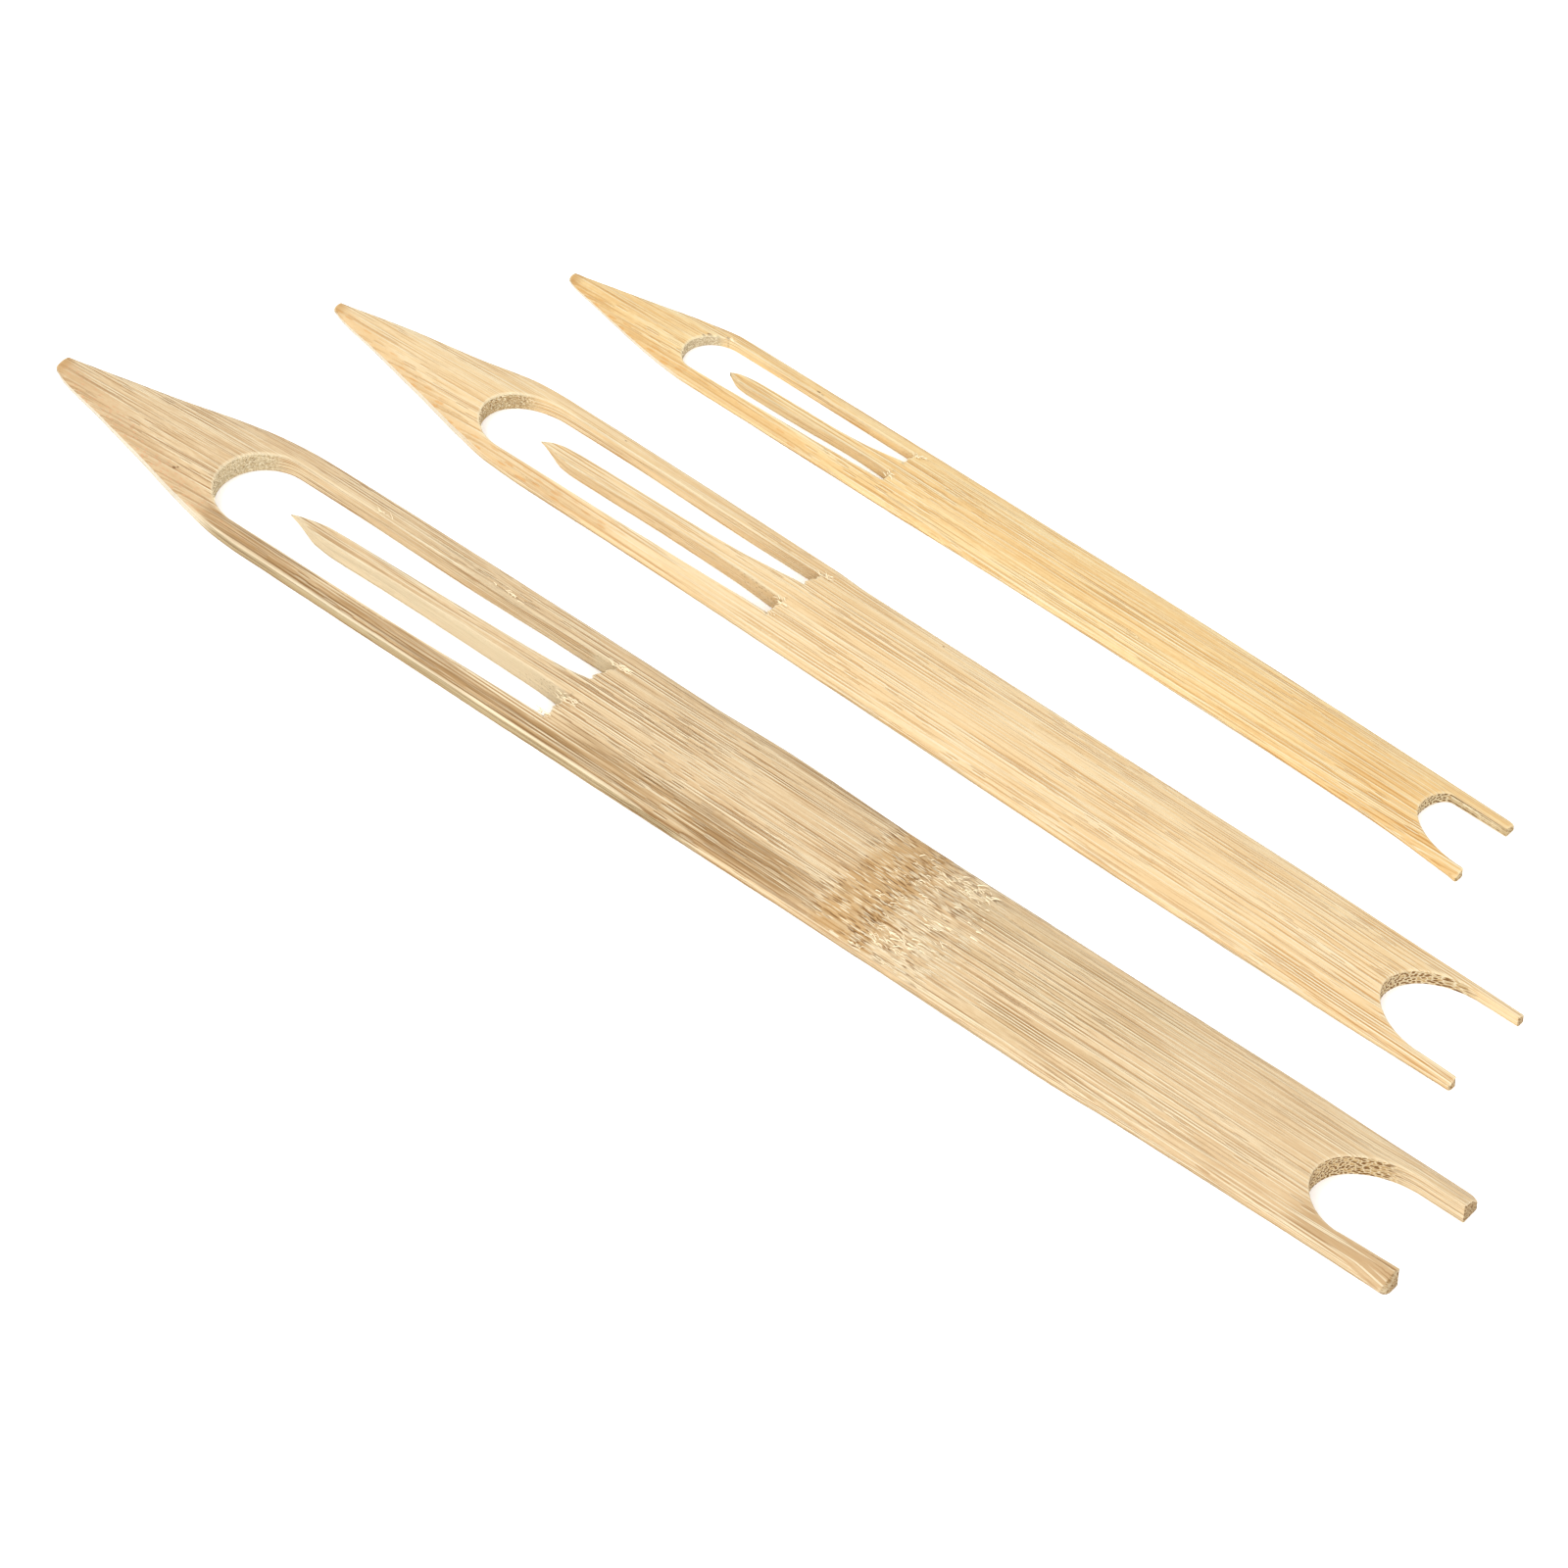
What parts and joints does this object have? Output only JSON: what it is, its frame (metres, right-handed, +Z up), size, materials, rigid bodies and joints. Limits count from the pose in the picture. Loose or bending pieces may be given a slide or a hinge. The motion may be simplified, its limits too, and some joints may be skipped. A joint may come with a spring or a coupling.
{
  "type": "netting needle set",
  "caption": "Flat bamboo netting needles of graduated size, each with a blunt point, an eye with a springy tongue that holds the twine, and a forked heel.",
  "frame": {"origin": "centre of the whole set's bounding box, on the surface that the needles lie on", "axes": "+Z up from the surface, +X along the largest needle from its tip to its forked heel, +Y towards the smaller needles"},
  "size_m": [0.22, 0.0706, 0.0039],
  "materials": {
    "large_bamboo": "bare bamboo, cut and sanded, no coating",
    "medium_bamboo": "bare bamboo, cut and sanded, no coating",
    "small_bamboo": "bare bamboo, cut and sanded, no coating"
  },
  "bodies": {
    "large_needle": {"large_needle": "large_bamboo"},
    "large_tongue": {"large_tongue": "large_bamboo"},
    "medium_needle": {"medium_needle": "medium_bamboo"},
    "medium_tongue": {"medium_tongue": "medium_bamboo"},
    "small_needle": {"small_needle": "small_bamboo"},
    "small_tongue": {"small_tongue": "small_bamboo"}
  },
  "joints": [
    {"name": "medium_needle_lift", "type": "slide", "parent": "large_needle", "child": "medium_needle", "axis": [0, 0, 1], "range_m": [0, 0.03]},
    {"name": "small_needle_lift", "type": "slide", "parent": "large_needle", "child": "small_needle", "axis": [0, 0, 1], "range_m": [0, 0.03]},
    {"name": "large_tongue_bend", "type": "hinge", "parent": "large_needle", "child": "large_tongue", "pos_m": [-0.0194, -0.02654, 0.00195], "axis": [0, 1, 0], "range_deg": [-4, 4], "stiffness_Nm_per_rad": 5.2},
    {"name": "medium_tongue_bend", "type": "hinge", "parent": "medium_needle", "child": "medium_tongue", "pos_m": [-0.01012, 0.00314, 0.00165], "axis": [0.0175, 0.9998, 0], "range_deg": [-4, 4], "stiffness_Nm_per_rad": 3.7},
    {"name": "small_tongue_bend", "type": "hinge", "parent": "small_needle", "child": "small_tongue", "pos_m": [-0.01471, 0.02906, 0.0011], "axis": [0.0209, 0.9998, 0], "range_deg": [-4, 4], "stiffness_Nm_per_rad": 1.5}
  ]
}
